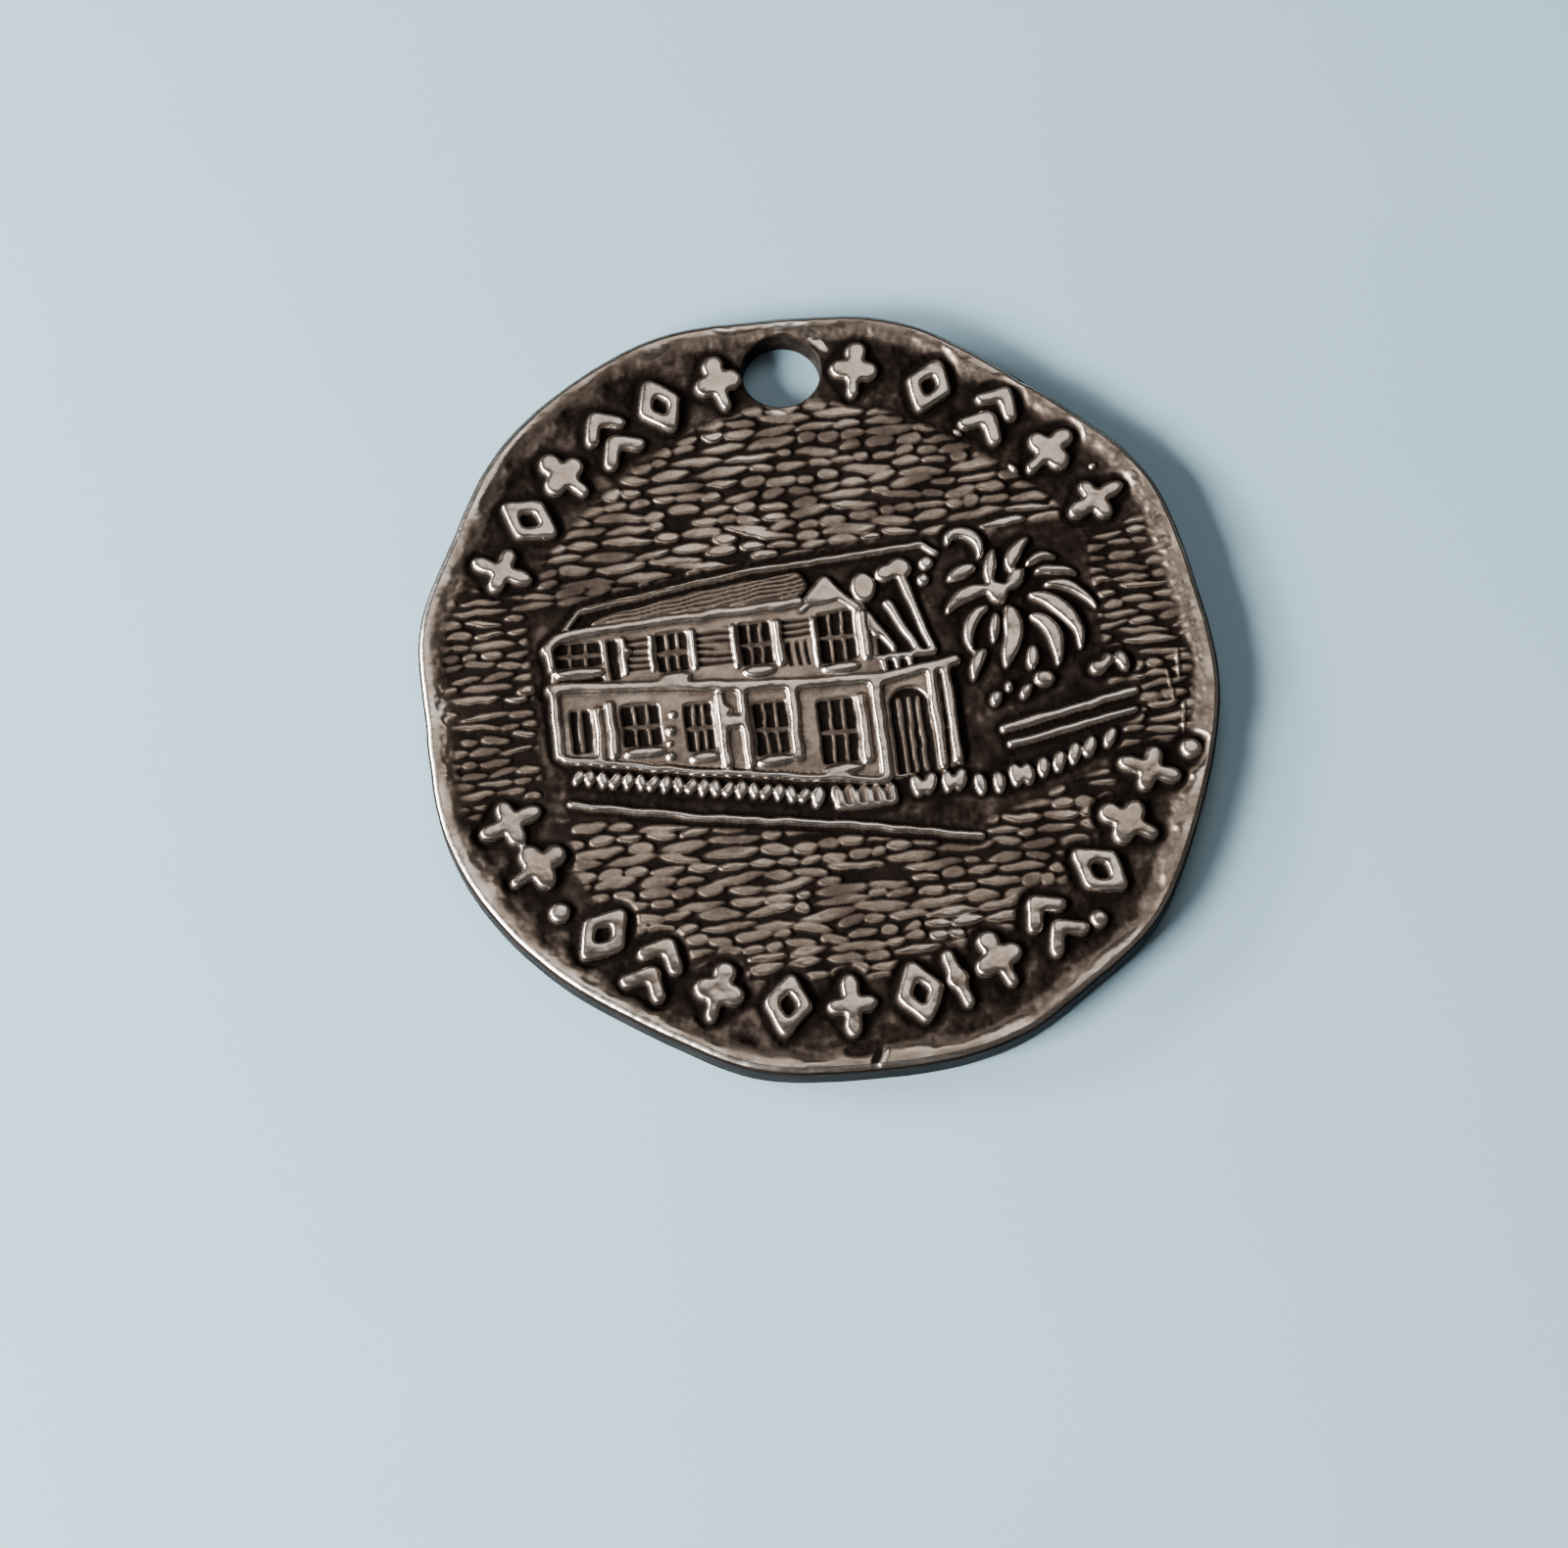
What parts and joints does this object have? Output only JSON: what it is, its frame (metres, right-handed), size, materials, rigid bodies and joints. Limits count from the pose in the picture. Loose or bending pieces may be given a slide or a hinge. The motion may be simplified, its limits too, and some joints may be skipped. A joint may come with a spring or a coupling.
{
  "type": "holed souvenir medal",
  "caption": "Uneven round white-metal souvenir medal with a ring hole, raised rim, ornament border and a house-and-palm relief.",
  "frame": {"origin": "centre of the picture disc, on the flat back face", "axes": "+Z out of the face through the medal's thickness, +Y towards the ring hole, +X to the right of the picture"},
  "size_m": [0.0296, 0.0302, 0.0015],
  "materials": {
    "antiqued_field": "antiqued white metal, dark patina in the sunk field",
    "worn_relief": "antiqued white metal, worn bright on the raised parts"
  },
  "bodies": {
    "root": {"planchet": "antiqued_field", "rim_border": "worn_relief", "upper_ornaments": "worn_relief", "lower_ornaments": "worn_relief", "border_pellets": "worn_relief", "house_walls": "worn_relief", "house_windows": "antiqued_field", "house_trim": "worn_relief", "house_roof": "worn_relief", "house_balcony": "worn_relief", "palm_tree": "worn_relief", "garden_fence": "worn_relief", "planting_row": "worn_relief", "kerb_line": "worn_relief"}
  },
  "joints": []
}
